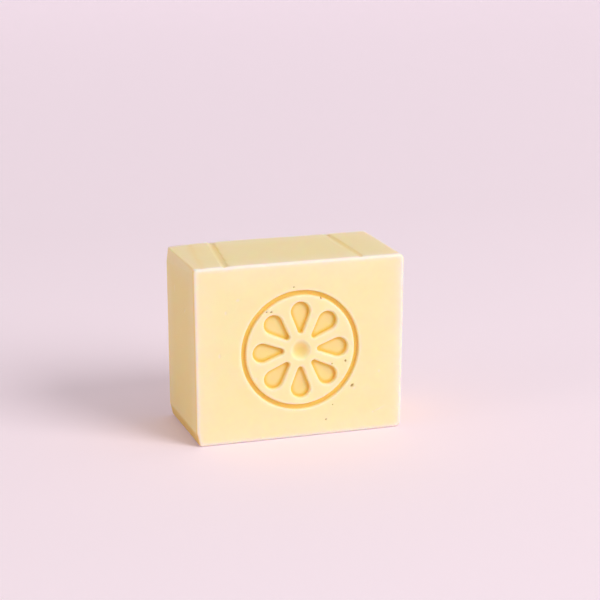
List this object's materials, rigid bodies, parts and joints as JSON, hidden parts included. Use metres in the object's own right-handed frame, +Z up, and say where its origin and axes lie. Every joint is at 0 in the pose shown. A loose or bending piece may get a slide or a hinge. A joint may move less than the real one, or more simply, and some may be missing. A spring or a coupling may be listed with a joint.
{
  "type": "bar of soap",
  "caption": "Hand-cut rectangular bar of pale yellow soap standing on its long narrow side, with a pressed daisy-and-ring recess on the broad front and two shallow creases across the top.",
  "frame": {"origin": "middle of the foot, the long narrow face that the bar stands on", "axes": "+X along the bar's width, to the right as the stamped face is looked at; +Y through its thickness, from the stamped face to the plain back; +Z up"},
  "size_m": [0.06, 0.03, 0.05],
  "materials": {
    "soap": "satin, waxy"
  },
  "bodies": {
    "root": {"soap_bar": "soap"}
  },
  "joints": []
}
